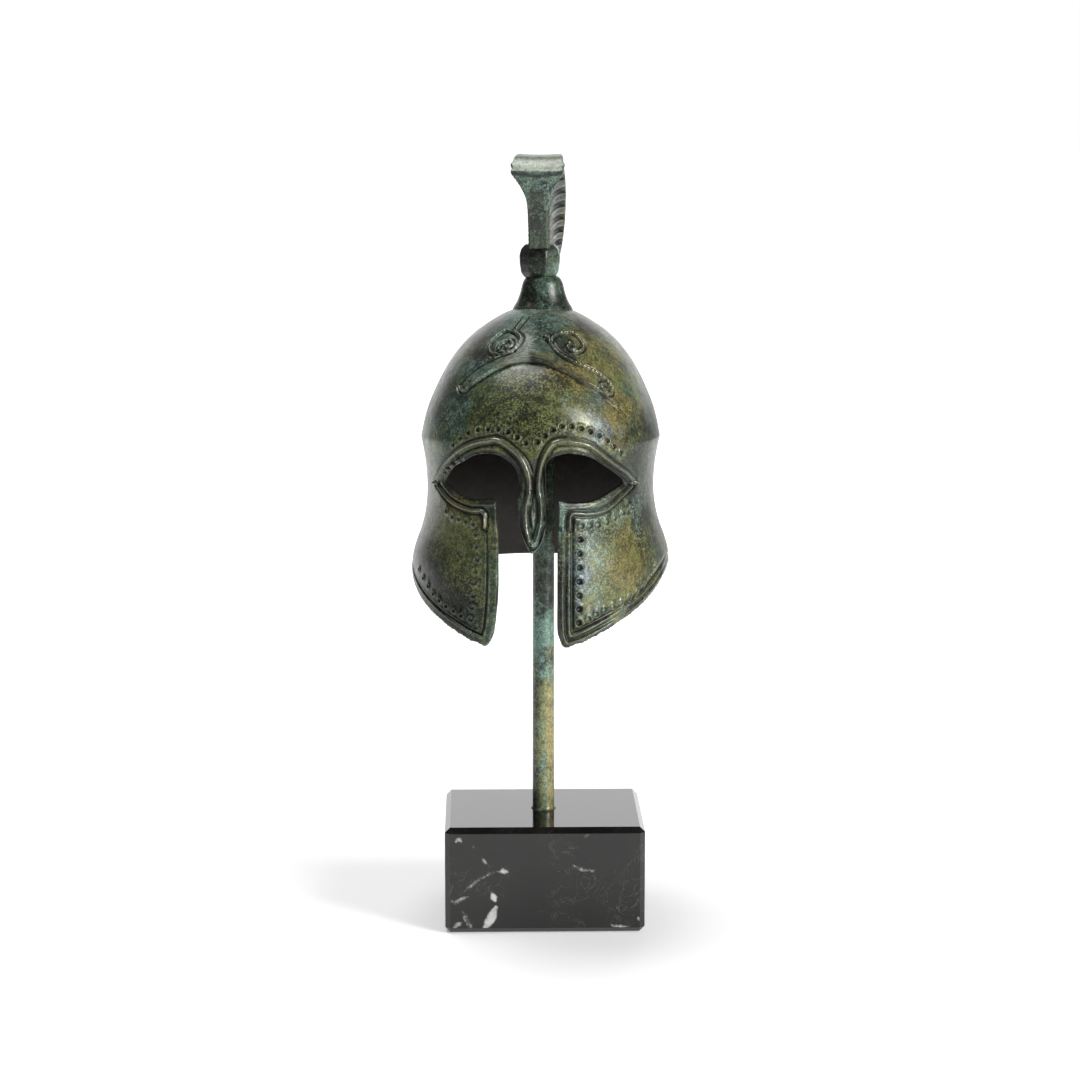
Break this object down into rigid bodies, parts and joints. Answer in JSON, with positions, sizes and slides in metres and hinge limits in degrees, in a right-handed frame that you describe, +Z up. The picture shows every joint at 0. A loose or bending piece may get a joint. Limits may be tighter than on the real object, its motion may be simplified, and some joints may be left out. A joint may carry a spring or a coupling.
{
  "type": "miniature greek helmet on a rod and marble base",
  "caption": "Cast bronze miniature of an ancient Greek helmet with nose guard, cheek guards and fan crest, carried on a rod over a chamfered black marble block.",
  "frame": {"origin": "middle of the marble block's underside, straight below the rod", "axes": "+Z up along the rod, -Y towards the front of the block; the helmet's face is turned 6.5 degrees from -Y towards -X"},
  "size_m": [0.0645, 0.0821, 0.1931],
  "materials": {
    "bronze_patina": "cast bronze, mottled dark green, teal and ochre patina under wax",
    "crest_patina": "cast bronze, grey-green patina under wax",
    "rod_patina": "drawn bronze rod, teal and ochre patina",
    "black_marble": "polished black marble with white veins"
  },
  "bodies": {
    "root": {"helmet_shell": "bronze_patina", "crest_foot": "bronze_patina", "crest_collar": "crest_patina", "crest": "crest_patina", "support_rod": "rod_patina", "marble_base": "black_marble"}
  },
  "joints": []
}
